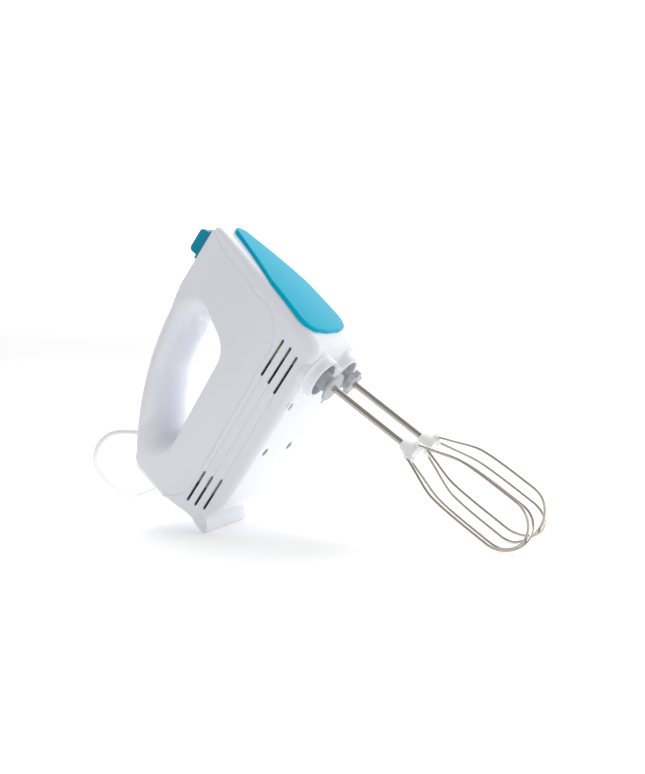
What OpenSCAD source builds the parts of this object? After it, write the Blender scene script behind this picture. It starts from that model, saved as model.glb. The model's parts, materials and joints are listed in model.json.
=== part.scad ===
// Hand mixer with two balloon whisks, leaning on its heel and on its whisk tips.
// Every piece is drawn in the mixer's own frame: x runs forward along the motor, y runs across,
// and z runs from the whisks up to the handle, with zero where the whisk axes meet the underside.
// stand() then leans the mixer as it rests on a table. The mains lead is drawn in the table's frame.

/* [Body] */
// Width of the motor housing at its widest
body_w = 79; // [74:0.5:95]
// Width of the handle at its top
handle_w = 44; // [38:0.5:53]
// Thickness of the moulded walls
wall = 2.5; // [2:0.1:3]
// How proud the coloured front panel stands
panel_t = 3; // [2:0.1:3.6]

/* [Whisks] */
// Distance between the two whisk axes
whisk_gap = 42; // [41:0.5:43]
// Diameter of a whisk's steel shaft
shaft_d = 5; // [4.2:0.1:6]
// How far a whisk reaches below the housing
whisk_reach = 206; // [172:1:247]
// Radius of a whisk's cage of wires
cage_r = 26; // [21:0.5:31]
// Diameter of the whisk wire
wire_d = 2; // [1.6:0.1:2.4]
// Diameter of the plain whisk collar
collar_d = 24.5; // [19:0.5:27]

/* [Lead] */
// Diameter of the mains lead
cord_d = 4.4; // [3.7:0.1:5.2]

/* [Hidden] */
$fn = 64;

lean = 55;               // angle between the mixer's forward axis and the table
stand_x = -0.2;          // centres the standing mixer over the origin
stand_z = 128.83;        // lifts the heel's edge onto the table

half_w = body_w / 2;
top_half = handle_w / 2;
half_gap = whisk_gap / 2;
heel_half = half_w - 6;  // the body narrows to the heel
bottom_z = -1.5;
plate_z = 133.5;         // seat of the switch plate
motor_z = 31;            // height of the motor's axis

// Whisk cage turned about its own axis, so that the two cages pass between each other
right_turn = 60;
left_turn = 75;

// Worm drive: one thread, 24 teeth on each wheel
teeth = 24;
pitch_r = 13.5;
worm_pitch = 2 * PI * pitch_r / teeth;
worm_r = half_gap - pitch_r;

// ---------------------------------------------------------------- helpers

module stand() {
  translate([stand_x, 0, stand_z]) rotate([0, -lean, 0]) children();
}

// Extrude a side view (x, z) across the mixer, from y = -w to y = w
module across(w) {
  rotate([90, 0, 0]) translate([0, 0, -w]) linear_extrude(2 * w) children();
}

// Extrude a front view (y, z) along the mixer, from x = a to x = b
module along(a, b) {
  translate([a, 0, 0]) rotate([90, 0, 90]) linear_extrude(b - a) children();
}

// Cylinder along x from a to b, centred on y and z
module rod_x(a, b, r, y = 0, z = motor_z) {
  translate([a, y, z]) rotate([0, 90, 0]) cylinder(h = b - a, r = r);
}

// Cylinder along z from a to b, centred on x and y
module rod_z(a, b, r, x = 0, y = 0) {
  translate([x, y, a]) cylinder(h = b - a, r = r);
}

function arc(cx, cz, r, from, to, n = 6) =
  [for (i = [0:n]) let (a = from + (to - from) * i / n) [cx + r * cos(a), cz + r * sin(a)]];

function unit(v) = v / norm(v);

// Move every side of a closed, counter-clockwise outline inwards by d
function inset(p, d) = [for (i = [0:len(p) - 1])
  let (a = p[(i + len(p) - 1) % len(p)], b = p[i], c = p[(i + 1) % len(p)],
       u = unit(b - a), v = unit(c - b),
       m = [-u[1] - v[1], u[0] + v[0]])
  b + m * d / (1 + u * v)];

// Tube of r swept along points, with flat ends
function side_dir(t) = abs(t[2]) < 0.9 ? unit(cross(t, [0, 0, 1])) : unit(cross(t, [1, 0, 0]));
function tangent(p, i) = unit(p[min(i + 1, len(p) - 1)] - p[max(i - 1, 0)]);
function frames(p, i = 0, last = undef) = i == len(p) ? [] :
  let (t = tangent(p, i),
       s = is_undef(last) ? side_dir(t) : unit(last - t * (last * t)))
  concat([[s, cross(t, s)]], frames(p, i + 1, s));

module tube(p, r, sides = 8) {
  f = frames(p);
  n = len(p);
  points = [for (i = [0:n - 1]) for (k = [0:sides - 1])
    let (a = 360 * k / sides) p[i] + r * cos(a) * f[i][0] + r * sin(a) * f[i][1]];
  walls = [for (i = [0:n - 2]) for (k = [0:sides - 1])
    let (a = i * sides + k, b = i * sides + (k + 1) % sides) [a, b, b + sides, a + sides]];
  ends = [[for (k = [sides - 1:-1:0]) k], [for (k = [0:sides - 1]) (n - 1) * sides + k]];
  polyhedron(points, [for (w = concat(walls, ends)) [for (k = [len(w) - 1:-1:0]) w[k]]]);
}

// Smooth curve through hand-chosen points, with n steps between neighbours
function spline_at(a, b, c, d, t) =
  0.5 * ((2 * b) + (c - a) * t + (2 * a - 5 * b + 4 * c - d) * t * t + (3 * b - a - 3 * c + d) * t * t * t);
function spline(p, n) = concat([for (i = [0:len(p) - 2]) for (k = [0:n - 1])
  spline_at(p[max(i - 1, 0)], p[i], p[i + 1], p[min(i + 2, len(p) - 1)], k / n)], [p[len(p) - 1]]);

// Round bar along z: helix of a compression spring
module helix(r, wire, turns, length, steps = 10) {
  tube([for (i = [0:turns * steps]) let (a = 360 * i / steps)
    [r * cos(a), r * sin(a), wire + (length - 2 * wire) * i / (turns * steps)]], wire, 6);
}

// ---------------------------------------------------------------- outlines, side view (x, z)

// Front face from the nose up to the top, gently bowed
function face_x(z, out = 0) = let (t = (z - 17) / 112) 27.5 + 18 * t + 8 * t * (1 - t) + out;
function face(from, to, out = 0, n = 8) =
  [for (i = [0:n]) let (z = from + (to - from) * i / n) [face_x(z, out), z]];

// Back of the handle, a parabola that falls away from the switch plate
function back_z(x) = plate_z - 0.0027 * (x + 17) * (x + 17);
function back_slope(x) = -0.0054 * (x + 17);
function back(d = 0, n = 9) = [for (i = [0:n])
  let (x = -17 - 130 * i / n, m = back_slope(x)) [x, back_z(x)] + d * unit([m, -1])];

heel = [[-154, 18], [-158, 4.6], [-159, 2.5], [-156, -1.8], [-146, 6.2], [-137, 0.6]];

// Outline of the body, moved inwards by d; inside, the heel's foot is left solid
function body_outline(d = 0) = concat(
  face(17.5, 129, -d),
  d == 0 ? arc(43, 131, 2.5, 10, 90, 3) : [[45.3 - d, plate_z - d]],
  back(d),
  arc(-138, 73, 18 - d, 120, 176, 4),
  d == 0 ? heel : [[-154 + d, 18], [-148 + d, 5.5 + d], [-140, 1.5 + d]],
  [[-131.5, bottom_z + d]],
  arc(7.5, 18.5, 20 - d, -86, -6, 6));

// The upper housing keeps what lies above and behind this line
seam = concat(
  [[40.5, 140], [40.5, 134], [34.5, 119], [31.2, 104]],
  [for (p = arc(-4, 64, 28.5, 3, -84, 7)) p],
  [for (p = arc(-133, 47.5, 17, -92, -140, 4)) p],
  [[-150, 40], [-156, 49], [-175, 56]]);

// Finger opening: its rim on the side faces, and its waist at the middle of the handle
rim = [[-27, 108, 19], [-42, 90, 24], [-76, 97, 19.4], [-118, 80, 18.5]];
waist = [[-36, 92.5, 14], [-40, 83, 14], [-72, 90, 14.5], [-104, 79.5, 9.5]];

module round_hull(discs, grow = 0) {
  hull() for (d = discs) translate([d[0], d[1]]) circle(r = d[2] + grow, $fn = 32);
}

module finger_opening(grow = 0) {
  across(7) round_hull(waist, grow);
  for (s = [-1, 1]) hull() {
    translate([0, s * 6.5, 0]) rotate([90, 0, 0]) linear_extrude(0.5, center = true) round_hull(waist, grow);
    translate([0, s * 36, 0]) rotate([90, 0, 0]) linear_extrude(0.5, center = true) round_hull(rim, grow);
  }
}

// ---------------------------------------------------------------- outlines, front view (y, z)

// Half width of the body, widest near the underside and narrowest at the top of the handle
function half_at(z) = half_w - (half_w - top_half) * pow(max(z, 0) / plate_z, 2);

function front_outline() = concat(
  [for (i = [0:10]) let (z = -8 + 148 * i / 10) [half_at(z), z]],
  [for (i = [10:-1:0]) let (z = -8 + 148 * i / 10) [-half_at(z), z]]);

// ---------------------------------------------------------------- outline, plan (x, y)

function plan_half() = [[-165, heel_half], [-20, half_w], [14, half_w], [26, half_w - 2], [32, half_w - 7],
  [50, half_w - 8]];
function plan_outline() = concat(
  [for (p = plan_half()) [p[0], -p[1]]],
  [for (i = [len(plan_half()) - 1:-1:0]) plan_half()[i]]);

// The whole body as a solid, moved inwards by d
module body_solid(d = 0) {
  intersection() {
    across(60) polygon(body_outline(d));
    along(-200, 80) polygon(inset(front_outline(), d));
    translate([0, 0, -20]) linear_extrude(200) polygon(inset(plan_outline(), d));
  }
}

module above_seam() {
  across(60) polygon(concat(seam, [[-175, 150], [40.5, 150]]));
}

// ---------------------------------------------------------------- housings

screw_spots = [[-30, 32], [-30, -32], [-125, 22], [-125, -22]];

module upper_housing() {
  color("white") difference() {
    union() {
      difference() {
        intersection() { body_solid(); above_seam(); }
        body_solid(wall);
      }
      intersection() {
        body_solid();
        above_seam();
        finger_opening(wall);
      }
      intersection() {
        body_solid(0.5);
        for (p = screw_spots) rod_z(6, 72, 3.5, p[0], p[1]);
      }
    }
    finger_opening();
    for (p = screw_spots) rod_z(0, 24, 1.5, p[0], p[1]);
    slider_slot(0.5);
    relief_hole();
  }
}

// Slot that the speed slider's web runs in
slide_travel = 18;
module slider_slot(gap) {
  translate([12 - slide_travel - gap, -5 - gap, 100]) cube([21 + slide_travel + 2 * gap, 10 + 2 * gap, 60]);
}

// Three cooling slots at the nose and three at the heel, on both sides
nose_slots = [[-23, 11, 29.8], [-24.5, 10, 21.5], [-28, 7, 13.2]];
heel_slots = [[-145, -115, 26.8], [-144, -114, 19.2], [-141.5, -111, 11.2]];
module slots() {
  for (s = concat(nose_slots, heel_slots))
    across(60) {
      for (x = [s[0] + 1.2, s[1] - 1.2]) translate([x, s[2]]) circle(r = 1.2);
      translate([s[0] + 1.2, s[2] - 1.2]) square([s[1] - s[0] - 2.4, 2.4]);
    }
}
// Shallow grooves that join each nose slot to its heel slot
module grooves() {
  for (i = [0:2]) across(60) polygon([
    [heel_slots[i][1] - 2, heel_slots[i][2] - 0.6], [nose_slots[i][0] + 2, nose_slots[i][2] - 0.6],
    [nose_slots[i][0] + 2, nose_slots[i][2] + 0.6], [heel_slots[i][1] - 2, heel_slots[i][2] + 0.6]]);
}

// Hood round the two whisk sockets, lobed like the sockets themselves
hood_z = -9;
module hood_shape(grow = 0) {
  for (s = [-1, 1]) translate([0, s * half_gap]) circle(r = 17 + grow);
  square([18 + 2 * grow, whisk_gap], center = true);
}

module lower_housing() {
  color("white") difference() {
    union() {
      difference() {
        difference() { body_solid(); above_seam(); }
        body_solid(wall);
        difference() { grooves(); body_solid(0.5); }
      }
      intersection() {
        translate([0, 0, hood_z]) linear_extrude(20) hood_shape();
        translate([-30, -half_w, hood_z]) cube([60, body_w, 14]);
      }
      for (p = screw_spots) rod_z(bottom_z + 0.5, 6, 5, p[0], p[1]);
    }
    translate([0, 0, hood_z - 1]) linear_extrude(1 - hood_z + bottom_z - 1) hood_shape(-wall);
    for (s = [-1, 1]) {
      rod_z(hood_z - 1, 3, 13.5, 0, s * half_gap);
      rod_z(hood_z - 1, 30, 10.5, 0, s * half_gap);
    }
    intersection() {
      translate([0, 0, 3.4]) linear_extrude(20) hood_shape(2);
      body_solid(wall);
    }
    for (p = screw_spots) {
      rod_z(-3, 2, 3.6, p[0], p[1]);
      rod_z(-3, 10, 1.8, p[0], p[1]);
    }
    slots();
  }
}

// Tapered, round-ended panel on the front face
module panel_shape() {
  hull() {
    translate([0, 118]) scale([1.15, 1]) circle(r = 9, $fn = 32);
    for (s = [-1, 1]) {
      translate([s * 19, 62]) circle(r = 13, $fn = 32);
      translate([s * 23, 28]) circle(r = 13.5, $fn = 32);
    }
    translate([0, 34]) circle(r = 22, $fn = 32);
  }
}
module front_panel() {
  color("deepskyblue") difference() {
    intersection() {
      across(60) polygon(concat(face(8, 131, panel_t), [for (i = [8:-1:0]) face(8, 131, -0.3)[i]]));
      along(0, 80) panel_shape();
    }
    body_solid();
  }
}

module switch_plate() {
  color("white") difference() {
    translate([-17, 1 - top_half, plate_z]) cube([59, handle_w - 2, 1.5]);
    slider_slot(0.5);
  }
}

module housing_screws() {
  color("silver") for (p = screw_spots) {
    rod_z(2, 22, 1.5, p[0], p[1]);
    difference() {
      rod_z(0, 2, 3.2, p[0], p[1]);
      translate([p[0] - 0.4, p[1] - 2.2, -1]) cube([0.8, 4.4, 2]);
      translate([p[0] - 2.2, p[1] - 0.4, -1]) cube([4.4, 0.8, 2]);
    }
  }
}

// ---------------------------------------------------------------- speed slider, eject button, switch

stem_x = 28;

module speed_slider() {
  color("teal") difference() {
    union() {
      translate([9.5, -11.5, 135.4]) cube([26, 23, 6.1]);
      translate([12, -5, 127]) cube([21, 10, 10]);
      translate([9, -9, 127]) cube([27, 18, 3]);
      translate([12, -2, 121.6]) cube([4, 4, 6]);
    }
    translate([11.7, -9.3, 136.6]) cube([21.6, 18.6, 10]);
    rod_z(110, 150, 2.6, stem_x, 0);
  }
}

module eject_button() {
  color("teal") {
    intersection() {
      translate([12, -9, 140.9]) cube([21, 18, 9.1]);
      across(20) polygon(concat(arc(15.2, 146.8, 3.2, 90, 180), [[12, 138], [33, 138]], arc(29.8, 146.8, 3.2, 0, 90)));
    }
    rod_z(126, 141.5, 2.3, stem_x, 0);
  }
}

module switch_wiper() {
  color("gray") difference() {
    translate([9.5, -3, 118.3]) cube([9, 6, 3.2]);
    translate([11.9, -2.1, 119.5]) cube([4.2, 4.2, 3]);
  }
  color("gray") translate([12, -2, 119.5]) cube([4, 4, 2.1]);
}

module switch_body() {
  color("black") difference() {
    translate([-11, -9, 106]) cube([32, 18, 15.6]);
    translate([-9.5, -3.4, 118]) cube([29, 6.8, 5]);
  }
  color("goldenrod") for (x = [-8, 2, 12]) translate([x, -0.4, 99]) cube([4, 0.8, 7]);
}

// Rod below the button, and a crossbar with a pin over each whisk shaft
module ejector_yoke() {
  color("ivory") {
    translate([26, -3, 62]) cube([4, 6, 63.7]);
    translate([-4, -3, 62]) cube([31, 6, 4]);
    translate([-4, -half_gap - 3, 62]) cube([8, whisk_gap + 6, 4]);
    for (s = [-1, 1]) rod_z(41, 62.5, 2.1, 0, s * half_gap);
  }
}

// Return springs at their pressed length
module ejector_springs() {
  color("silver") for (s = [-1, 1]) translate([0, s * half_gap, 45.6]) helix(4, 0.45, 5, 12.2);
}

// ---------------------------------------------------------------- gearbox

module gearbox_base() {
  color("lightgray") difference() {
    union() {
      translate([-20, 6 - half_w, 3.4]) cube([35.5, body_w - 12, 3.4]);
      for (x = [-18.5, 11.5]) translate([x, -9.5, 6]) cube([4, 19, 33.4]);
      for (s = [-1, 1]) rod_z(3.4, 15, 9.6, 0, s * half_gap);
    }
    for (s = [-1, 1]) rod_z(0, 20, 8.5, 0, s * half_gap);
    rod_x(10, 30, 5);
    rod_x(-30, -10, 5.5);
    for (x = [-16.5, 13.5]) for (y = [-7, 7]) rod_z(28, 45, 1.2, x, y);
  }
}

module gearbox_cover() {
  color("lightgray") difference() {
    union() {
      translate([-18.5, 3 - half_gap, 39.4]) cube([34, whisk_gap - 6, 3.6]);
      for (s = [-1, 1]) rod_z(39.4, 45.6, 10.5, 0, s * half_gap);
    }
    for (s = [-1, 1]) {
      rod_z(39, 43, 8.5, 0, s * half_gap);
      rod_z(40, 50, 2.18, 0, s * half_gap);
    }
    for (x = [-16.5, 13.5]) for (y = [-7, 7]) rod_z(35, 50, 1.2, x, y);
  }
}

module gearbox_screws() {
  color("silver") for (x = [-16.5, 13.5]) for (y = [-7, 7]) {
    rod_z(30, 43, 1.2, x, y);
    rod_z(43, 44.6, 2.4, x, y);
  }
}

module spindle_bushes() {
  color("goldenrod") for (s = [-1, 1]) for (z = [[3.4, 15], [39.4, 43]]) difference() {
    rod_z(z[0], z[1], 8.5, 0, s * half_gap);
    rod_z(z[0] - 1, z[1] + 1, 6.55, 0, s * half_gap);
  }
}

// Straight teeth, thin enough to let the worm's thread pass with play
tooth_root = pitch_r - 1.3;
tooth_tip = pitch_r + 0.85;
function tooth_polar() = [[tooth_root, -4.7], [tooth_tip, -1.5], [tooth_tip, 1.5], [tooth_root, 4.7]];
module worm_wheel(s, phase) {
  difference() {
    union() {
      translate([0, s * half_gap, motor_z - 2.5]) linear_extrude(5) polygon([
        for (i = [0:teeth - 1]) for (p = tooth_polar())
          let (a = phase + 360 * i / teeth + p[1]) [p[0] * cos(a), p[0] * sin(a)]]);
      rod_z(-1, 42.6, 6.5, 0, s * half_gap);
    }
    rod_z(-2, 50, shaft_d / 2 + 0.1, 0, s * half_gap);
    translate([-1, s * half_gap - 5, -2]) cube([2, 10, 23]);
  }
}
// At rest each wheel stands with a gap between two teeth facing the thread
quarter_tooth = 90 / teeth;
module right_worm_wheel() { color("ivory") worm_wheel(-1, 90 + quarter_tooth); }
module left_worm_wheel() { color("ivory") worm_wheel(1, -90 + quarter_tooth); }

// ---------------------------------------------------------------- motor

core_a = -68;            // ends of the laminated cores
core_b = -43;

module motor_shaft() {
  color("silver") rod_x(-100, 15.4, 2.5);
}

// One thread; its height at angle a round the worm
function thread_r(a) = let (b = abs(a)) b <= 36 ? worm_r + 0.85 : b >= 108 ? worm_r - 1.2 :
  worm_r + 0.85 - 2.05 * (b - 36) / 72;
module worm() {
  turns = 5;
  color("steelblue") difference() {
    translate([-turns * worm_pitch / 2, 0, motor_z]) rotate([0, 90, 0]) linear_extrude(turns * worm_pitch, twist = -360 * turns, slices = turns * 15, convexity = 10, $fn = 15)
      polygon([for (i = [0:14]) let (a = 24 * i - 180) thread_r(a) * [cos(a), sin(a)]]);
    rod_x(-20, 20, 2.52);
  }
}

slots_n = 10;
module core_slots(w, r0, r1) {
  for (i = [0:slots_n - 1]) rotate([0, 0, 360 * i / slots_n]) translate([r0, -w / 2]) square([r1 - r0, w]);
}
module armature_core() {
  color("dimgray") along(core_a, core_b) translate([0, motor_z]) difference() {
    circle(r = 14.6);
    circle(r = 2.5);
    core_slots(2.4, 8, 16);
  }
}
module armature_winding() {
  color("chocolate") translate([0, 0, motor_z]) {
    for (x = [[core_a - 7, core_a], [core_b, core_b + 7]]) rotate([0, 90, 0]) difference() {
      translate([0, 0, x[0]]) cylinder(h = 7, r = 13);
      translate([0, 0, x[0] - 1]) cylinder(h = 9, r = 4);
    }
    along(core_a - 1, core_b + 1) core_slots(2, 8.4, 12.6);
  }
}
module commutator() {
  color("orange") along(-90, -77) translate([0, motor_z]) difference() {
    circle(r = 9);
    circle(r = 2.5);
    for (i = [0:19]) rotate([0, 0, 18 * i]) translate([8.3, -0.2]) square([2, 0.4]);
  }
}
module cooling_fan() {
  color("white") difference() {
    union() {
      rod_x(-35, -33.8, 21);
      rod_x(-35, -25, 5);
      for (i = [0:8]) translate([0, 0, motor_z]) rotate([40 * i, 0, 0])
        translate([-34, -0.6, 4]) cube([8, 1.2, 16.4]);
    }
    rod_x(-40, -20, 2.5);
  }
}

module sector(r0, r1, from, to) {
  difference() {
    circle(r = r1);
    circle(r = r0);
    rotate([0, 0, to]) translate([-40, 0]) square([80, 40]);
    rotate([0, 0, from]) translate([-40, -40]) square([80, 40]);
  }
}
module stator_core() {
  color("slategray") along(core_a, core_b) translate([0, motor_z]) difference() {
    intersection() { square([52, 44], center = true); circle(r = 29.5); }
    circle(r = 15.2);
    for (s = [0, 180]) rotate([0, 0, s]) sector(15, 20, 38, 142);
    for (s = [-1, 1]) translate([s * 19.5, s * 18.5]) circle(r = 1.8);
  }
}
module field_coil(s) {
  color("brown") translate([0, 0, motor_z]) {
    for (x = [[core_a - 6.5, core_a - 0.3], [core_b + 0.3, core_b + 6.5]])
      along(x[0], x[1]) rotate([0, 0, s > 0 ? 0 : 180]) sector(15.6, 19.6, -64, 64);
    along(core_a - 1, core_b + 1) rotate([0, 0, s > 0 ? 0 : 180]) {
      sector(15.6, 19.6, 41, 64);
      sector(15.6, 19.6, -64, -41);
    }
  }
}
module right_field_coil() { field_coil(-1); }
module left_field_coil() { field_coil(1); }

module rear_bridge() {
  color("lightgray") difference() {
    union() {
      translate([-98, -32, motor_z - 21]) cube([4, 64, 42]);
      for (s = [-1, 1]) translate([-127, s * 31 - 1, motor_z - 22]) cube([30, 2, 24]);
      rod_x(-104, -94, 9);
      for (s = [-1, 1]) rod_x(-95, core_a, 4, s * 19.5, motor_z + s * 18.5);
      for (s = [-1, 1]) translate([-95, s * 17 - 6, motor_z - 7]) cube([7, 12, 14]);
    }
    rod_x(-105, -80, 6);
    for (s = [-1, 1]) rod_x(-110, -60, 1.6, s * 19.5, motor_z + s * 18.5);
    for (s = [-1, 1]) translate([-88.3, s * 17 - 9, motor_z - 3.9]) cube([10, 18, 7.8]);
  }
}
module motor_screws() {
  color("silver") for (s = [-1, 1]) {
    rod_x(-98, core_b, 1.6, s * 19.5, motor_z + s * 18.5);
    rod_x(-100.4, -98, 3.2, s * 19.5, motor_z + s * 18.5);
  }
}
module bearing(a, b, outer) {
  color("goldenrod") difference() {
    rod_x(a, b, outer);
    rod_x(a - 1, b + 1, 2.55);
  }
}
module front_bearing() { bearing(11.5, 15.5, 5); }
module rear_bearing() { bearing(-104, -94, 6); }

module brush_holders() {
  color("goldenrod") for (s = [-1, 1]) difference() {
    translate([-88, s * 18 - 7, motor_z - 3.5]) cube([9, 14, 7]);
    translate([-86.6, s * 17.4 - 7, motor_z - 2.6]) cube([6.2, 14, 5.2]);
  }
}
module carbon_brushes() {
  color("black") for (s = [-1, 1]) translate([-86.5, s * 13.6 - 4.5, motor_z - 2.5]) cube([6, 9, 5]);
}
module brush_springs() {
  color("silver") for (s = [-1, 1]) translate([-83.5, s * 18.15, motor_z]) rotate([s * -90, 0, 0])
    helix(1.7, 0.3, 5, s > 0 ? 6.1 : 6.1, 8);
}

// ---------------------------------------------------------------- whisks, drawn on the z axis

collar_z = -19;          // outer face of both collars
hub_z = -87;             // shaft end of the hub
module whisk_shaft() {
  color("silver") {
    rod_z(-97, 36.5, shaft_d / 2);
    translate([-0.7, -4.6, 10]) cube([1.4, 9.2, 7]);
  }
}
// Plain disc with a spool behind it
module plain_collar() {
  color("gray") difference() {
    union() {
      rod_z(collar_z, collar_z + 2.2, collar_d / 2);
      rod_z(collar_z, -1.6, 5);
      translate([0, 0, collar_z]) cylinder(h = 15.5, r1 = 6.6, r2 = 8);
    }
    rod_z(collar_z - 1, 0, shaft_d / 2);
  }
}
// Six lobes, so that this whisk only fits the left socket
module lobed_collar() {
  color("gray") difference() {
    union() {
      rod_z(collar_z, collar_z + 6, 7.5);
      for (i = [0:5]) rotate([0, 0, 60 * i]) rod_z(collar_z, collar_z + 5, 2.6, 8, 0);
      rod_z(collar_z, -1.6, 5);
      rod_z(-5.5, -3.5, 8);
    }
    rod_z(collar_z - 1, 0, shaft_d / 2);
  }
}
// Cone that opens towards the wires, with four ears that hold them
module whisk_hub() {
  color("white") difference() {
    union() {
      translate([0, 0, hub_z - 13]) cylinder(h = 13, r1 = 9, r2 = 4.2);
      for (i = [0:3]) rotate([0, 0, 90 * i]) translate([4, -2, hub_z - 14]) cube([6, 4, 6]);
    }
    rod_z(-97, -80, shaft_d / 2);
    for (i = [0:3]) rotate([0, 0, 90 * i]) tube([for (q = wire_root) [q[0], 0, q[1]]], wire_d / 2);
  }
}
// Half of a wire loop: out of the hub, round a kink, down the cage and round to the tip
wire_root = [[6, hub_z - 9], [8.6, hub_z - 11.4], [11, hub_z - 16], [18.2, -118]];
function half_loop(tip) = concat(
  wire_root,
  [[23, -129]],
  [[cage_r - 1, -138], [cage_r, -150], [cage_r, -163]],
  [for (i = [1:9]) let (a = 10 * i) [cage_r * cos(a), -170 - (tip - 170) * sin(a)]]);
module wire_loop(turn, tip) {
  h = half_loop(tip);
  p = concat([for (q = h) [q[0], 0, q[1]]], [for (i = [len(h) - 2:-1:0]) [-h[i][0], 0, h[i][1]]]);
  rotate([0, 0, turn]) tube(p, wire_d / 2, 8);
}
module whisk_wires() {
  color("silver") {
    wire_loop(0, whisk_reach);
    wire_loop(90, whisk_reach - wire_d - 0.1);
  }
}
module right_place() { translate([0, -half_gap, 0]) children(); }
module left_place() { translate([0, half_gap, 0]) children(); }
// The wires lie in the plane of the turn, and the shaft's ears in the socket's slot
module turned_hub(a) { rotate([0, 0, a]) children(); }

module right_whisk_shaft() { right_place() whisk_shaft(); }
module right_whisk_collar() { right_place() plain_collar(); }
module right_whisk_hub() { right_place() turned_hub(right_turn) whisk_hub(); }
module right_whisk_wires() { right_place() turned_hub(right_turn) whisk_wires(); }
module left_whisk_shaft() { left_place() whisk_shaft(); }
module left_whisk_collar() { left_place() lobed_collar(); }
module left_whisk_hub() { left_place() turned_hub(left_turn) whisk_hub(); }
module left_whisk_wires() { left_place() turned_hub(left_turn) whisk_wires(); }

// ---------------------------------------------------------------- mains lead

// The lead leaves the back of the handle at right angles to it
exit_x = -136;
exit_z = back_z(exit_x);
exit_turn = atan(0.0054 * (exit_x + 17));
module at_exit() {
  translate([exit_x, 0, exit_z]) rotate([0, exit_turn, 0]) children();
}
module relief_hole() {
  at_exit() translate([0, 0, -12]) cylinder(h = 20, r = 5.02);
}
module strain_relief() {
  color("white") at_exit() difference() {
    union() {
      translate([0, 0, -4]) cylinder(h = 5, r = 5);
      cylinder(h = 15, r1 = 5, r2 = cord_d / 2 + 0.9);
      translate([0, 0, -9]) cylinder(h = 5.5, r = 5);
    }
    translate([0, 0, -20]) cylinder(h = 50, r = cord_d / 2);
  }
}
// Point inside the handle, given along and below the exit
function inside_handle(along, below) = [exit_x, 0, exit_z]
  + along * [cos(exit_turn), 0, -sin(exit_turn)] - below * [sin(exit_turn), 0, cos(exit_turn)];
lead_route = [inside_handle(0, -14.9), inside_handle(0, -3), inside_handle(0, 9), inside_handle(2.4, 14.4),
  [-118, 0, 95], [-104, 0, 103], [-90, 0, 109], [-70, 0, 117], [-50, 0, 122], [-34, 0, 124],
  [-22, 0, 120], [-15, 0, 112]];
module handle_lead() {
  color("white") tube(spline(lead_route, 3), cord_d / 2 - 0.02, 10);
}
module cord_clamp() {
  color("gray") difference() {
    translate([-100, -9, 95.2]) cube([8, 18, 15.8]);
    across(2.4) polygon([[-110, 97.7], [-110, 103.8], [-82, 114.3], [-82, 108.7]]);
  }
}

// Route of the free lead in the table's frame: out of the handle, down to the table, then behind
function stood(p) = [stand_x + p[0] * cos(lean) - p[2] * sin(lean), 0,
  stand_z + p[0] * sin(lean) + p[2] * cos(lean)];
relief_end = stood(inside_handle(0, -15));
rest_z = cord_d / 2 + 0.1;
free_route = [relief_end, relief_end + [-14, 0, 0], [-198, 0, 70], [-209, 1, 62], [-217, 5, 51], [-222, 14, 39],
  [-224, 28, 27], [-225, 46, 16], [-227, 68, 7], [-231, 92, rest_z], [-236, 120, rest_z], [-240, 150, rest_z],
  [-241, 182, rest_z]];
coil_at = [-217, 195];
coil_r = 24;
tail_route = [[-193, 206, 8.5], [-192, 216, 8.5], [-196, 228, 8], [-202, 238, 7.2], [-204, 246, 7], [-204, 252, 7],
  [-204, 257, 7]];
module mains_lead() {
  color("white") {
    tube(spline(free_route, 3), cord_d / 2, 8);
    tube(spline(tail_route, 3), cord_d / 2, 8);
  }
}
// Six turns, two wide and three high
module lead_coil() {
  color("white") translate([coil_at[0], coil_at[1], 0.1]) rotate_extrude() translate([coil_r - cord_d, 0])
    square([2 * cord_d, 3 * cord_d]);
}
plug_at = [-204, 264];
module in_plug() {
  translate([plug_at[0], plug_at[1], 0.2]) rotate([0, 0, 90]) children();
}
module plug_body() {
  color("white") in_plug() {
    intersection() {
      translate([0, -12.5, 0]) cube([30, 25, 13.6]);
      translate([0, 0, -1]) linear_extrude(16) polygon([[0, -5], [8, -12.5], [30, -12.5], [30, 12.5], [8, 12.5], [0, 5]]);
    }
    difference() {
      translate([-12, 0, 6.8]) rotate([0, 90, 0]) cylinder(h = 13, r1 = 3.2, r2 = 5);
      translate([-13, 0, 6.8]) rotate([0, 90, 0]) cylinder(h = 6.2, r = cord_d / 2);
    }
  }
}
module plug_pins() {
  color("silver") for (s = [-1, 1])
    in_plug() translate([30, s * 9.3, 6.8]) rotate([0, 90, 0]) cylinder(h = 19, r = 2);
}

// ---------------------------------------------------------------- the pieces in place

stand() upper_housing();
stand() lower_housing();
stand() front_panel();
stand() switch_plate();
stand() housing_screws();
stand() speed_slider();
stand() switch_wiper();
stand() eject_button();
stand() switch_body();
stand() ejector_yoke();
stand() ejector_springs();
stand() gearbox_base();
stand() gearbox_cover();
stand() gearbox_screws();
stand() spindle_bushes();
stand() right_worm_wheel();
stand() left_worm_wheel();
stand() motor_shaft();
stand() worm();
stand() armature_core();
stand() armature_winding();
stand() commutator();
stand() cooling_fan();
stand() stator_core();
stand() right_field_coil();
stand() left_field_coil();
stand() rear_bridge();
stand() motor_screws();
stand() front_bearing();
stand() rear_bearing();
stand() brush_holders();
stand() carbon_brushes();
stand() brush_springs();
stand() right_whisk_shaft();
stand() right_whisk_collar();
stand() right_whisk_hub();
stand() right_whisk_wires();
stand() left_whisk_shaft();
stand() left_whisk_collar();
stand() left_whisk_hub();
stand() left_whisk_wires();
stand() strain_relief();
stand() cord_clamp();
stand() handle_lead();
mains_lead();
lead_coil();
plug_body();
plug_pins();
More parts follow.
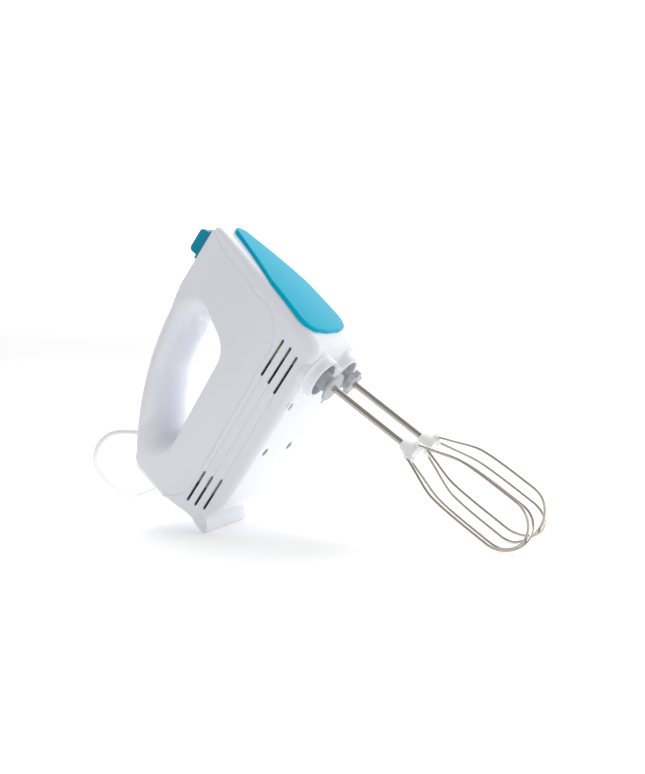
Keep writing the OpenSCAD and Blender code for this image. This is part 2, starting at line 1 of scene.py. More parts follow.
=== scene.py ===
"""Hand mixer with two balloon whisks, leaning on its heel and its whisk tips on a pale table.

The mixer's surfaces are functions in its own frame, in millimetres: x runs forward along the motor,
y across and z from the whisks up to the handle. stand() leans them onto the table, in metres.
"""

import json

import bmesh
import bpy
import numpy as np
from bpy.props import FloatProperty, FloatVectorProperty, PointerProperty
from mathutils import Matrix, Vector
from mathutils.geometry import delaunay_2d_cdt

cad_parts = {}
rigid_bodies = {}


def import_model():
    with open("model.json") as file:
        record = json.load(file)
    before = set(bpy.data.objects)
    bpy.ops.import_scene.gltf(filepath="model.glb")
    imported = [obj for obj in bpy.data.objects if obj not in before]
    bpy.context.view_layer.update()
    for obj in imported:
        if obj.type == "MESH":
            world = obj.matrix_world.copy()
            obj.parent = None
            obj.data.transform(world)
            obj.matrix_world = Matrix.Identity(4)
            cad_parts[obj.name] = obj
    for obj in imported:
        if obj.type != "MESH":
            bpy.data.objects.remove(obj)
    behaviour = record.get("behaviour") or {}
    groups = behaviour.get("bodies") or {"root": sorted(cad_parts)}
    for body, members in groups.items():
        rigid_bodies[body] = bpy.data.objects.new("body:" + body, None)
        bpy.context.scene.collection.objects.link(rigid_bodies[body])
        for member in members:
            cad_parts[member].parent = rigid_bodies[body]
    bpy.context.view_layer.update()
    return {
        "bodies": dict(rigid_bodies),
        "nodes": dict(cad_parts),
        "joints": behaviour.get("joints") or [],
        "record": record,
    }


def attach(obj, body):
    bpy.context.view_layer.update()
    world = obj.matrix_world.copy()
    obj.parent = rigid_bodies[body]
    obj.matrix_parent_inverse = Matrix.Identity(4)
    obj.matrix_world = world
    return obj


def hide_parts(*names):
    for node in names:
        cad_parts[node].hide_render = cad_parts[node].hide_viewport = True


bl_info = {
    "name": "Hand mixer",
    "version": (1, 0, 0),
    "blender": (4, 5, 0),
    "location": "3D View > Sidebar > Mixer",
    "description": "Builds a hand mixer with two balloon whisks around its CAD frame",
    "category": "Add Mesh",
}

LEAN = np.radians(55.0)                 # tilt of the motor's axis when the mixer stands
STAND = np.array([-0.2, 0.0, 128.83])   # place of the mixer's own origin over the table
HALF_W = 39.5          # half width of the body at its widest
TOP_HALF = 22.0        # half width at the top of the handle
PLATE_Z = 133.5        # seat of the switch plate
GAP = 21.0             # distance of each whisk axis from the middle
WALL = 2.2             # thickness of the two housings
VIEW_AZIMUTH = 23.5    # the camera stands to the right front, in degrees
VIEW_HEIGHT = 4.9
VIEW_DISTANCE = 1.0    # in metres
VIEW_AIM = np.array([-2.88, 0.0, -12.2])
FOCAL_SHARE = 1280 / 774   # focal length over the height of the film
FILM = 36.0
NOSE_SLOTS = ((-23, 11, 29.8), (-24.5, 10, 21.5), (-28, 7, 13.2))
HEEL_SLOTS = ((-145, -115, 26.8), (-144, -114, 19.2), (-141.5, -111, 11.2))
SCREWS = ((-30, 32), (-30, -32), (-125, 22), (-125, -22))


# ------------------------------------------------------------------ curves

def unit(v):
    """Scale vectors to length one."""
    return v / np.maximum(np.linalg.norm(v, axis=-1, keepdims=True), 1e-12)


def arc(cx, cz, r, start, end, n=12):
    """Points on a circle round (cx, cz), from angle start to end in degrees."""
    a = np.radians(np.linspace(start, end, n + 1))
    return np.stack([cx + r * np.cos(a), cz + r * np.sin(a)], 1)


def spline(points, n=8):
    """Smooth curve through given points: a Catmull-Rom cubic between each pair."""
    p = np.asarray(points, float)
    q = np.vstack([2 * p[0] - p[1], p, 2 * p[-1] - p[-2]])
    t = np.linspace(0, 1, n, endpoint=False)[:, None]
    parts = []
    for i in range(len(p) - 1):
        a, b, c, d = q[i:i + 4]
        parts.append(0.5 * (2 * b + (c - a) * t + (2 * a - 5 * b + 4 * c - d) * t ** 2
                            + (3 * b - a - 3 * c + d) * t ** 3))
    return np.vstack(parts + [p[-1:]])


def lengths(curve):
    """Distance along a curve at each of its points."""
    return np.concatenate([[0], np.cumsum(np.linalg.norm(np.diff(curve, axis=0), axis=1))])


def along(curve, s):
    """Points at distances s along a curve."""
    d = lengths(curve)
    return np.stack([np.interp(s, d, curve[:, k]) for k in range(curve.shape[1])], 1)


def spread(curve, n):
    """The same curve as n points at even distances."""
    return along(curve, np.linspace(0, lengths(curve)[-1], n))


# ------------------------------------------------------------------ outlines in side view (x, z)

def face_x(z):
    """Front face of the body: leans forward with height and bulges 2 mm."""
    t = (z - 17) / 112
    return 27.5 + 18 * t + 8 * t * (1 - t)


def back_z(x):
    """Back of the handle: a parabola that falls away behind the switch plate."""
    return PLATE_Z - 0.0027 * (np.maximum(-17 - x, 0)) ** 2


TOP_JOINT = (40.3, 133.5)
HEEL_JOINT = (-155.9, 49.0)


def lower_line():
    """Outline of the lower housing, from the top joint down the front, under the body and up the heel."""
    z = np.linspace(129, 18, 60)
    heel = [(-146, 6.2), (-151.5, 1.2), (-154.8, -1.2), (-155.7, -1.5), (-157.0, 0.4), (-158.3, 2.4),
            (-158.2, 4.6)]
    back = spline([(-157.2, 9), (-154.5, 17), (-154.4, 24), (-155.3, 36), HEEL_JOINT], 6)
    return np.vstack([[TOP_JOINT], arc(42.9, 130.9, 2.4, 90, 10, 6), np.stack([face_x(z), z], 1),
                      arc(7.5, 18.5, 20, -4, -86, 24), spline([(6, -1.5), (-60, -1.6), (-128, -1.5)], 30)[1:],
                      spline([(-128, -1.5), (-133, -0.9), (-139.5, 1.6), (-146, 6.2)], 5)[1:-1], heel, back])


def handle_line():
    """Outline of the handle, from the heel joint over the top to the top joint."""
    x = np.linspace(-146, -17, 70)
    return np.vstack([[HEEL_JOINT], spline([(-156.1, 54), (-156.0, 66), (-155.4, 76)], 4),
                      arc(-138, 73, 18, 168, 124, 12), np.stack([x, back_z(x)], 1),
                      np.stack([np.linspace(-14, TOP_JOINT[0], 24), np.full(24, PLATE_Z)], 1)])


def seam_line():
    """Line where the two housings meet, from the top joint down the nose and back to the heel joint."""
    nose = [TOP_JOINT, (38.6, 128), (34.6, 117.5), (31.8, 104), (29.6, 90), (27, 74)]
    heel = [(-149, 39.0), (-152.6, 43.0), HEEL_JOINT]
    return np.vstack([spline(nose, 8)[:-1], arc(-4, 64, 28.5, 6, -80, 24),
                      spline([(-4, 35.4), (-30, 34.2), (-75, 32.4), (-120, 30.6)], 14)[1:-1],
                      arc(-133, 47.5, 17, -82, -140, 12), spline(heel, 5)])


def hull_line(discs):
    """Outline round a set of discs (x, z, r): the furthest point of any disc in each direction."""
    a = np.radians(np.arange(0, 360, 0.5))
    d = np.stack([np.cos(a), np.sin(a)], 1)
    c = np.array(discs, float)
    reach = d @ c[:, :2].T + c[:, 2]
    k = reach.argmax(1)
    loop = c[k, :2] + c[k, 2:3] * d
    return spread(np.vstack([loop, loop[:1]]), 800)[:-1]


RIM = ((-27, 108, 19), (-42, 90, 24), (-76, 97, 19.4), (-118, 80, 18.5))
WAIST = ((-34, 94, 13.5), (-37, 84, 15.5), (-72, 88, 14.5), (-104, 77, 9.5))
PANEL = ((0, 118, 9), (-19, 62, 13), (19, 62, 13), (-22, 29, 14), (22, 29, 14), (-9, 34, 21.4), (9, 34, 21.4))
MIDDLE = np.array([-72.0, 87.0])


def polar(curve, angles, centre):
    """Distance from a centre to a closed curve in each direction."""
    v = curve - centre
    a = np.arctan2(v[:, 1], v[:, 0])
    order = np.argsort(a)
    return np.interp(angles, a[order], np.linalg.norm(v, axis=1)[order], period=2 * np.pi)


# ------------------------------------------------------------------ the body's sides

def half_width(x, z):
    """Half width of the body: narrows upwards as a parabola and rearwards in a straight line."""
    up = HALF_W - (HALF_W - TOP_HALF) * (np.maximum(z, 0) / PLATE_Z) ** 2
    rear = np.minimum(HALF_W + 0.041 * (x + 20), HALF_W + 2)
    return (up ** -20.0 + rear ** -20.0) ** (-1 / 20.0) * 1.018


# ------------------------------------------------------------------ meshes

def stand(p):
    """Lean points of the mixer's frame (mm) onto the table (m)."""
    p = np.asarray(p, float)
    c, s = np.cos(LEAN), np.sin(LEAN)
    out = np.stack([c * p[..., 0] - s * p[..., 2], p[..., 1], s * p[..., 0] + c * p[..., 2]], -1)
    return (out + STAND) / 1000


def grid_faces(rows, cols, close_rows=False, close_cols=False, start=0):
    """Quads of a grid of points, counter-clockwise when rows run right and columns run up."""
    i = np.arange(rows if close_rows else rows - 1)[:, None]
    j = np.arange(cols if close_cols else cols - 1)[None, :]
    a = i * cols + j
    b = (i + 1) % rows * cols + j
    c = (i + 1) % rows * cols + (j + 1) % cols
    d = i * cols + (j + 1) % cols
    return np.stack([a, b, c, d], -1).reshape(-1, 4) + start


def build(name, parts, angle=35.0, weld=0.0):
    """Join parts of (points in metres, faces) into one smooth object with sharp edges above an angle."""
    points, faces, start = [], [], 0
    for p, f in parts:
        p = np.asarray(p, float).reshape(-1, 3)
        points.append(p)
        faces += [[int(k) + start for k in face] for face in f]
        start += len(p)
    mesh = bpy.data.meshes.new(name)
    mesh.from_pydata(np.vstack(points).tolist(), [], faces)
    mesh.update()
    obj = bpy.data.objects.new(name, mesh)
    bpy.context.scene.collection.objects.link(obj)
    if weld:
        tidy_mesh(obj, weld)
    smooth(obj, angle)
    return obj


def tidy_mesh(obj, distance):
    """Merge points closer than a distance in metres and dissolve degenerate edges and faces below that
    distance.
    """
    bm = bmesh.new()
    bm.from_mesh(obj.data)
    bmesh.ops.remove_doubles(bm, verts=bm.verts, dist=distance)
    bmesh.ops.dissolve_degenerate(bm, edges=bm.edges, dist=distance)
    bm.to_mesh(obj.data)
    bm.free()


def smooth(obj, angle):
    """Smooth shading, broken at edges sharper than an angle in degrees."""
    obj.data.polygons.foreach_set("use_smooth", np.ones(len(obj.data.polygons), bool))
    obj.data.set_sharp_from_angle(angle=np.radians(angle))


def outward(obj):
    """Turn every face of a closed object outwards."""
    bm = bmesh.new()
    bm.from_mesh(obj.data)
    bmesh.ops.recalc_face_normals(bm, faces=bm.faces)
    bm.to_mesh(obj.data)
    bm.free()


def lathe(profile, steps=64, centre=(0.0, 0.0)):
    """Turn a profile of (radius, z) round the z axis through a centre; ends on the axis close it."""
    p = np.array(profile, float)
    a = np.linspace(0, 2 * np.pi, steps, endpoint=False)
    x = centre[0] + p[:, 0:1] * np.cos(a)
    y = centre[1] + p[:, 0:1] * np.sin(a)
    z = np.repeat(p[:, 1:2], steps, 1)
    points = np.stack([x, y, z], -1).reshape(-1, 3)
    return points, grid_faces(len(p), steps, close_cols=True)[:, ::-1].tolist()


def sweep(path, radius, sides=16, closed=False):
    """Round bar along a path: each ring stands square to the path, turned with it without twist."""
    p = np.asarray(path, float)
    n = len(p)
    t = np.roll(p, -1, 0) - np.roll(p, 1, 0) if closed else np.gradient(p, axis=0)
    t = unit(t)
    side = unit(np.cross(t[0], [0.0, 0.0, 1.0] if abs(t[0][2]) < 0.9 else [1.0, 0.0, 0.0]))
    a = np.linspace(0, 2 * np.pi, sides, endpoint=False)[:, None]
    r = np.broadcast_to(np.asarray(radius, float), (n,))
    rings = []
    for i in range(n):
        side = unit(side - t[i] * (side @ t[i]))
        rings.append(p[i] + r[i] * (np.cos(a) * side + np.sin(a) * np.cross(t[i], side)))
    faces = grid_faces(n, sides, close_rows=closed, close_cols=True)[:, ::-1].tolist()
    if not closed:
        faces += [list(range(sides))[::-1], list(range((n - 1) * sides, n * sides))]
    return np.vstack(rings), [f[::-1] for f in faces]


def prism(outline, low, high, axes="xz"):
    """Solid between two copies of a closed outline; the outline lies in the named plane."""
    o = np.asarray(outline, float)
    n = len(o)
    order = {"xz": (0, 2, 1), "xy": (0, 1, 2), "yz": (1, 2, 0)}[axes]
    points = np.zeros((2 * n, 3))
    points[:n, order[0]] = o[:, 0]
    points[n:, order[0]] = o[:, 0]
    points[:n, order[1]] = o[:, 1]
    points[n:, order[1]] = o[:, 1]
    points[:n, order[2]] = low
    points[n:, order[2]] = high
    faces = [[k, (k + 1) % n, n + (k + 1) % n, n + k] for k in range(n)]
    return points, faces + [list(range(n))[::-1], list(range(n, 2 * n))]


def block(low, high):
    """Box between two corners."""
    (x0, y0, z0), (x1, y1, z1) = low, high
    return prism([(x0, y0), (x1, y0), (x1, y1), (x0, y1)], z0, z1, "xy")


def placed(part, turn=0.0, shift=(0, 0, 0)):
    """Turn a part round the z axis by degrees, then shift it."""
    p, f = part
    c, s = np.cos(np.radians(turn)), np.sin(np.radians(turn))
    p = np.asarray(p, float)
    out = np.stack([c * p[:, 0] - s * p[:, 1], s * p[:, 0] + c * p[:, 1], p[:, 2]], 1)
    return out + np.array(shift, float), f


def stood(parts):
    """Lean a list of parts onto the table."""
    return [(stand(p), f) for p, f in parts]


def bevelled(obj, width, segments=4, angle=40.0):
    """Round the sharp edges of an object by a width in metres."""
    mod = obj.modifiers.new("edges", "BEVEL")
    mod.width = width
    mod.segments = segments
    mod.limit_method = "ANGLE"
    mod.angle_limit = np.radians(angle)
    mod.harden_normals = False
    return obj


def carve(obj, parts, operation="DIFFERENCE"):
    """Cut parts out of an object, or join them to it, and keep the result as its mesh."""
    cutter = build("cutter", stood(parts))
    outward(cutter)
    mod = obj.modifiers.new("carve", "BOOLEAN")
    mod.object = cutter
    mod.operation = operation
    mod.solver = "EXACT"
    bpy.context.view_layer.update()
    depsgraph = bpy.context.evaluated_depsgraph_get()
    mesh = bpy.data.meshes.new_from_object(obj.evaluated_get(depsgraph))
    obj.modifiers.clear()
    old = obj.data
    obj.data = mesh
    bpy.data.meshes.remove(old)
    bpy.data.objects.remove(cutter)
    mesh.name = obj.name
    return obj


# ------------------------------------------------------------------ materials

def linear(colour):
    """Linear RGBA of an sRGB colour written as RRGGBB."""
    c = np.array([int(colour[k:k + 2], 16) / 255 for k in (0, 2, 4)])
    c = np.where(c <= 0.04045, c / 12.92, ((c + 0.055) / 1.055) ** 2.4)
    return (float(c[0]), float(c[1]), float(c[2]), 1.0)


def add(tree, kind, links=(), **values):
    """Add a node, set its inputs or properties by name and link inputs from other sockets."""
    node = tree.nodes.new(kind)
    for name, value in values.items():
        setattr(node, name, value)
    for socket, value in links:
        target = node.inputs[socket]
        if isinstance(value, bpy.types.NodeSocket):
            tree.links.new(value, target)
        else:
            target.default_value = value
    return node


def material(name, colour, roughness, metallic=0.0, **extra):
    """Plain material on the Principled shader; extra sets further inputs by name."""
    mat = bpy.data.materials.new(name)
    mat.use_nodes = True
    shader = mat.node_tree.nodes["Principled BSDF"]
    shader.inputs["Base Color"].default_value = linear(colour)
    shader.inputs["Roughness"].default_value = roughness
    shader.inputs["Metallic"].default_value = metallic
    for key, value in extra.items():
        shader.inputs[key.replace("_", " ")].default_value = value
    return mat


def grain(mat, size_mm, depth_mm, rough=0.0):
    """Fine surface noise of a size in millimetres: a bump of a depth, and a spread of roughness."""
    tree = mat.node_tree
    shader = tree.nodes["Principled BSDF"]
    place = add(tree, "ShaderNodeTexCoord")
    noise = add(tree, "ShaderNodeTexNoise", [("Vector", place.outputs["Object"]),
                                             ("Scale", 1000.0 / size_mm), ("Detail", 3.0)])
    bump = add(tree, "ShaderNodeBump", [("Height", noise.outputs["Fac"]), ("Strength", 1.0),
                                        ("Distance", depth_mm / 1000)])
    tree.links.new(bump.outputs["Normal"], shader.inputs["Normal"])
    if rough:
        base = shader.inputs["Roughness"].default_value
        spread_node = add(tree, "ShaderNodeMapRange", [("Value", noise.outputs["Fac"]), ("From Min", 0.3),
                                                       ("From Max", 0.7), ("To Min", base - rough),
                                                       ("To Max", base + rough)])
        tree.links.new(spread_node.outputs["Result"], shader.inputs["Roughness"])
    return mat


def brushed(mat, axis, stretch, depth_mm):
    """Drawing or grinding marks: noise stretched along an axis of the table's frame."""
    tree = mat.node_tree
    shader = tree.nodes["Principled BSDF"]
    place = add(tree, "ShaderNodeTexCoord")
    turn = add(tree, "ShaderNodeMapping", [("Vector", place.outputs["Object"]), ("Rotation", axis),
                                           ("Scale", stretch)])
    noise = add(tree, "ShaderNodeTexNoise", [("Vector", turn.outputs["Vector"]), ("Scale", 1.0),
                                             ("Detail", 2.0)])
    bump = add(tree, "ShaderNodeBump", [("Height", noise.outputs["Fac"]), ("Strength", 1.0),
                                        ("Distance", depth_mm / 1000)])
    tree.links.new(bump.outputs["Normal"], shader.inputs["Normal"])
    return mat


def laminated(mat, pitch_mm):
    """Fine lines across the motor's axis, as in a stack of stamped sheets."""
    tree = mat.node_tree
    shader = tree.nodes["Principled BSDF"]
    place = add(tree, "ShaderNodeTexCoord")
    turn = add(tree, "ShaderNodeMapping", [("Vector", place.outputs["Object"]), ("Rotation", (0.0, LEAN, 0.0))])
    wave = add(tree, "ShaderNodeTexWave", [("Vector", turn.outputs["Vector"]), ("Scale", 314.0 / pitch_mm)],
               bands_direction="X")
    bump = add(tree, "ShaderNodeBump", [("Height", wave.outputs["Fac"]), ("Distance", 0.0002)])
    tree.links.new(bump.outputs["Normal"], shader.inputs["Normal"])
    return mat


def make_materials(sizes):
    """All the mixer's materials, by short name.

    Mouldings keep the faint swell of a polished mould, drawn steel has fine marks along its length,
    and laminated or wound pieces show their layers as lines.
    """
    teal = sizes.panel_colour
    mats = {
        "white": grain(material("polished moulded ABS white", "ECEEF5", 0.2), 9, 0.003),
        "panel": grain(material("polished moulded ABS teal", "00AFD0", 0.28, Specular_IOR_Level=0.06),
                       9, 0.002),
        "knob": grain(material("satin moulded ABS teal", "0090AE", 0.3, Specular_IOR_Level=0.3), 6, 0.004),
        "grey": grain(material("satin moulded nylon grey", "BABDC3", 0.42), 0.5, 0.01),
        "hub": grain(material("satin moulded acetal white", "F2F2F2", 0.35), 0.5, 0.01),
        "shaft": brushed(material("ground stainless steel", "B9B4AC", 0.2, 1.0), (0.0, -LEAN, 0.0),
                         (4000.0, 4000.0, 60.0), 0.002),
        "wire": grain(material("drawn stainless steel wire", "B4ADA3", 0.24, 1.0), 0.3, 0.004, 0.05),
        "screw": grain(material("zinc plated steel", "A9ABAC", 0.3, 1.0), 0.3, 0.003, 0.06),
        "spring": grain(material("spring steel", "8A8A88", 0.3, 1.0), 0.3, 0.002, 0.05),
        "worm": grain(material("machined steel", "8E9094", 0.28, 1.0), 0.3, 0.003, 0.05),
        "core": laminated(material("stamped sheet steel", "4A4C50", 0.45, 0.8), 0.5),
        "copper": grain(material("turned copper", "C27A4A", 0.3, 1.0), 0.3, 0.003, 0.05),
        "winding": laminated(material("enamelled copper wire", "7A3415", 0.3, 0.3), 0.6),
        "bronze": grain(material("sintered bronze", "9B7A45", 0.5, 1.0), 0.2, 0.01, 0.08),
        "brass": grain(material("stamped brass", "C8A45A", 0.28, 1.0), 0.3, 0.003, 0.05),
        "pin": grain(material("nickel plated brass", "C9C8C4", 0.2, 1.0), 0.4, 0.002, 0.04),
        "carbon": grain(material("pressed carbon", "1A1A1B", 0.7), 0.3, 0.01, 0.08),
        "dark": grain(material("moulded phenolic", "18181A", 0.45), 0.4, 0.01, 0.05),
        "bracket": grain(material("glass filled nylon", "B4B8BC", 0.5), 0.4, 0.01, 0.05),
        "acetal": grain(material("moulded acetal", "E4DFCB", 0.4), 0.4, 0.008, 0.05),
        "lead": grain(material("soft PVC white", "F0F0F0", 0.4), 0.8, 0.01, 0.05),
    }
    shader = mats["panel"].node_tree.nodes["Principled BSDF"]
    shader.inputs["Base Color"].default_value = (teal[0], teal[1], teal[2], 1.0)
    return mats


NODE_MATERIALS = {
    "housing_screws": "screw", "switch_wiper": "brass", "switch_body": "dark", "ejector_yoke": "acetal",
    "ejector_springs": "spring", "gearbox_base": "bracket", "gearbox_cover": "bracket",
    "gearbox_screws": "screw", "spindle_bushes": "bronze", "right_worm_wheel": "acetal",
    "left_worm_wheel": "acetal", "motor_shaft": "shaft", "worm": "worm", "armature_core": "core",
    "armature_winding": "winding", "commutator": "copper", "cooling_fan": "acetal", "stator_core": "core",
    "right_field_coil": "winding", "left_field_coil": "winding", "rear_bridge": "bracket",
    "motor_screws": "screw", "front_bearing": "bronze", "rear_bearing": "bronze", "brush_holders": "brass",
    "carbon_brushes": "carbon", "brush_springs": "spring", "cord_clamp": "dark", "handle_lead": "lead",
}


def finish_piece(obj, mat, body, node=None):
    """Give a piece its material and body, and hide the CAD node it replaces, if one is given."""
    obj.data.materials.clear()
    obj.data.materials.append(mat)
    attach(obj, body)
    if node:
        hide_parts(node)
    return obj


# ------------------------------------------------------------------ housings

def nearest(curve, points):
    """Distance from points to an open curve, and the place on it of the nearest point, as an index."""
    a, v = curve[:-1], np.diff(curve, axis=0)
    w = points[:, None] - a
    t = np.clip((w * v).sum(2) / np.maximum((v * v).sum(1), 1e-12), 0, 1)
    gap = np.linalg.norm(w - t[..., None] * v, axis=2)
    k = gap.argmin(1)
    row = np.arange(len(points))
    return gap[row, k], k + t[row, k]


def inside(loop, points):
    """True for points inside a closed loop: a ray from each crosses it an odd number of times."""
    a, b = loop, np.roll(loop, -1, 0)
    x, z = points[:, :1], points[:, 1:]
    crosses = (a[:, 1] > z) != (b[:, 1] > z)
    rise = np.where(b[:, 1] == a[:, 1], 1e-12, b[:, 1] - a[:, 1])
    at = a[:, 0] + (z - a[:, 1]) * (b[:, 0] - a[:, 0]) / rise
    return ((crosses & (x < at)).sum(1) % 2).astype(bool)


def rounding(points, curve, radius):
    """Drop of a side face near an edge: a quarter circle of the edge's own radius there."""
    d, at = nearest(curve, points)
    r = np.interp(at, np.arange(len(curve)), radius)
    return r - np.sqrt(np.maximum(r * r - np.maximum(r - d, 0) ** 2, 0))


def groove_lines():
    """Centre lines of the shallow grooves that join each nose slot to its heel slot."""
    lines = []
    for (nose_start, _, nose_z), (_, heel_end, heel_z) in zip(NOSE_SLOTS, HEEL_SLOTS):
        x = np.linspace(heel_end - 0.5, nose_start + 0.5, 60)
        lines.append(np.stack([x, np.linspace(heel_z, nose_z, 60)], 1))
    return lines


def side_y(points, edges):
    """Half width of the body at points of the side view, with the rounding of its edges (curve, radius)."""
    y = half_width(points[:, 0], points[:, 1])
    for curve, radius in edges:
        y = y - rounding(points, curve, radius)
    return y


def side_plate(loop, holes, edges, step=2.6, lines=()):
    """Triangles that fill a side view loop round its holes, with rows of points along edges and lines."""
    low, high = loop.min(0), loop.max(0)
    gx, gz = np.meshgrid(np.arange(low[0], high[0], step), np.arange(low[1], high[1], step * 0.87))
    gx = gx + (np.arange(gx.shape[0]) % 2)[:, None] * step / 2
    grid = np.stack([gx.ravel(), gz.ravel()], 1)
    walls = [np.vstack([c, c[:1]]) for c in [loop] + list(holes)]
    extra = []
    for curve, radius in edges:
        t = unit(np.gradient(curve, axis=0))
        normal = np.stack([-t[:, 1], t[:, 0]], 1)
        for share in (0.03, 0.12, 0.27, 0.46, 0.68, 0.9, 1.1):
            for sign in (-1, 1):
                row = curve + sign * normal * (radius * share)[:, None]
                extra.append(row[nearest(curve, row)[0] > 0.96 * radius * share])
    for curve in lines:
        t = unit(np.gradient(curve, axis=0))
        normal = np.stack([-t[:, 1], t[:, 0]], 1)
        extra += [curve + normal * k for k in (-1.3, -0.75, -0.35, 0, 0.35, 0.75, 1.3)]
    if extra:
        near_rows = np.vstack(extra)
        gap = nearest(np.vstack(walls[:1]), near_rows)[0]
        fine = near_rows[gap > 0.004]
        room = np.ones(len(grid), bool)
        for curve, radius in edges:
            d, at = nearest(curve, grid)
            room &= d > 1.25 * np.interp(at, np.arange(len(curve)), radius) + 0.5
        for curve in lines:
            room &= nearest(curve, grid)[0] > 2.2
        grid = np.vstack([grid[room], fine])
    keep = inside(loop, grid)
    for hole in holes:
        keep &= ~inside(hole, grid)
    for wall in walls[1:]:
        keep &= nearest(wall, grid)[0] > 0.3
    grid = grid[keep]
    return triangulate([loop] + list(holes), grid)


def triangulate(loops, points):
    """Constrained Delaunay triangles inside the first loop and outside the others."""
    edges, start = [], 0
    for loop in loops:
        n = len(loop)
        edges += [(start + k, start + (k + 1) % n) for k in range(n)]
        start += n
    every = np.vstack(list(loops) + [points])
    made = delaunay_2d_cdt([Vector(p) for p in every.tolist()], edges, [], 0, 1e-6)
    flat = np.array([tuple(v) for v in made[0]])
    faces = np.array([f for f in made[2] if len(f) == 3])
    middle = flat[faces].mean(1)
    keep = inside(loops[0], middle)
    for hole in loops[1:]:
        keep &= ~inside(hole, middle)
    return flat, faces[keep]


def welded(parts, grid=1e-4):
    """Join (points, triangles) parts and merge points closer than a grid in mm."""
    points, faces, start = [], [], 0
    for p, f in parts:
        points.append(p)
        faces.append(np.asarray(f) + start)
        start += len(p)
    points, faces = np.vstack(points), np.vstack(faces)
    _, first, back = np.unique(np.round(points / grid).astype(np.int64), axis=0, return_index=True,
                               return_inverse=True)
    faces = back.ravel()[faces]
    good = (faces[:, 0] != faces[:, 1]) & (faces[:, 1] != faces[:, 2]) & (faces[:, 0] != faces[:, 2])
    return points[first], faces[good]


def thick(points, faces, wall):
    """Closed wall behind a skin: the skin, its copy pushed inwards, and strips round every open edge."""
    n = np.zeros_like(points)
    cross = np.cross(points[faces[:, 1]] - points[faces[:, 0]], points[faces[:, 2]] - points[faces[:, 0]])
    for k in range(3):
        np.add.at(n, faces[:, k], cross)
    n = unit(n)
    count = len(points)
    sides = np.vstack([faces[:, (0, 1)], faces[:, (1, 2)], faces[:, (2, 0)]])
    key = np.sort(sides, 1)
    _, where, times = np.unique(key, axis=0, return_inverse=True, return_counts=True)
    rim = sides[times[where.ravel()] == 1]
    strip = np.vstack([np.stack([rim[:, 1], rim[:, 0], rim[:, 0] + count], 1),
                       np.stack([rim[:, 1], rim[:, 0] + count, rim[:, 1] + count], 1)])
    return np.vstack([points, points - wall * n]), np.vstack([faces, faces[:, ::-1] + count, strip])


def both_sides(flat, faces, y):
    """Lift a side view plate to the right and the left side."""
    right = np.stack([flat[:, 0], -y, flat[:, 1]], 1)
    left = np.stack([flat[:, 0], y, flat[:, 1]], 1)
    a = flat[faces]
    u, v = a[:, 1] - a[:, 0], a[:, 2] - a[:, 0]
    turn = u[:, 0] * v[:, 1] - u[:, 1] * v[:, 0]
    up = np.where(turn[:, None] > 0, faces, faces[:, ::-1])
    return [(right, up), (left, up[:, ::-1])]


def band(curve, half, crown, holes=(), step=3.0):
    """Surface across the body along an outline, crowned in the middle, with holes given in (length, y)."""
    at = lengths(curve)
    t = unit(np.gradient(curve, axis=0))
    out = np.stack([t[:, 1], -t[:, 0]], 1)
    if inside(curve, curve[len(curve) // 2:len(curve) // 2 + 1] + out[len(curve) // 2] * 0.5)[0]:
        out = -out
    ends = [np.stack([np.full(9, at[k]), np.linspace(-half[k], half[k], 11)[1:-1]], 1) for k in (0, -1)]
    loop = np.vstack([np.stack([at, -half], 1), ends[1], np.stack([at, half], 1)[::-1], ends[0][::-1]])
    rows = np.arange(at[0] + 0.4, at[-1] - 0.3, 1.6)
    shares = np.linspace(-1, 1, 27)[1:-1]
    grid = np.stack([np.repeat(rows, len(shares)), np.outer(np.interp(rows, at, half), shares).ravel()], 1)
    keep = inside(loop, grid)
    for hole in holes:
        keep &= ~inside(hole, grid) & (nearest(np.vstack([hole, hole[:1]]), grid)[0] > 0.5)
    flat, faces = triangulate([loop] + list(holes), grid[keep])
    w = np.interp(flat[:, 0], at, half)
    bulge = np.interp(flat[:, 0], at, crown) * (1 - np.minimum(np.abs(flat[:, 1]) / w, 1) ** 2)
    spot = along(curve, flat[:, 0]) + along(out, np.interp(flat[:, 0], at, lengths(out))) * bulge[:, None]
    points = np.stack([spot[:, 0], flat[:, 1], spot[:, 1]], 1)
    a = points[faces]
    normal = np.cross(a[:, 1] - a[:, 0], a[:, 2] - a[:, 0])
    middle = np.interp(flat[faces].mean(1)[:, 0], at, np.arange(len(curve)))
    aim = out[np.clip(np.round(middle).astype(int), 0, len(curve) - 1)]
    right = normal[:, 0] * aim[:, 0] + normal[:, 2] * aim[:, 1] > 0
    return points, np.where(right[:, None], faces, faces[:, ::-1])


def finger_bowl(rim, waist, half):
    """Wall of the finger opening: a quarter of an oval from each side face in to the middle."""
    a = np.linspace(0, np.pi / 2, 22)[:, None]
    spot = waist + (rim - waist) * (1 - np.cos(a))[..., None]
    y = half * np.sin(a)
    n = len(rim)
    grid = grid_faces(len(a), n, close_cols=True)
    tris = np.vstack([grid[:, (0, 1, 2)], grid[:, (0, 2, 3)]])
    right = np.stack([spot[..., 0], -y, spot[..., 1]], -1).reshape(-1, 3)
    left = right * [1, -1, 1]
    return [(right, tris), (left, tris[:, ::-1])]


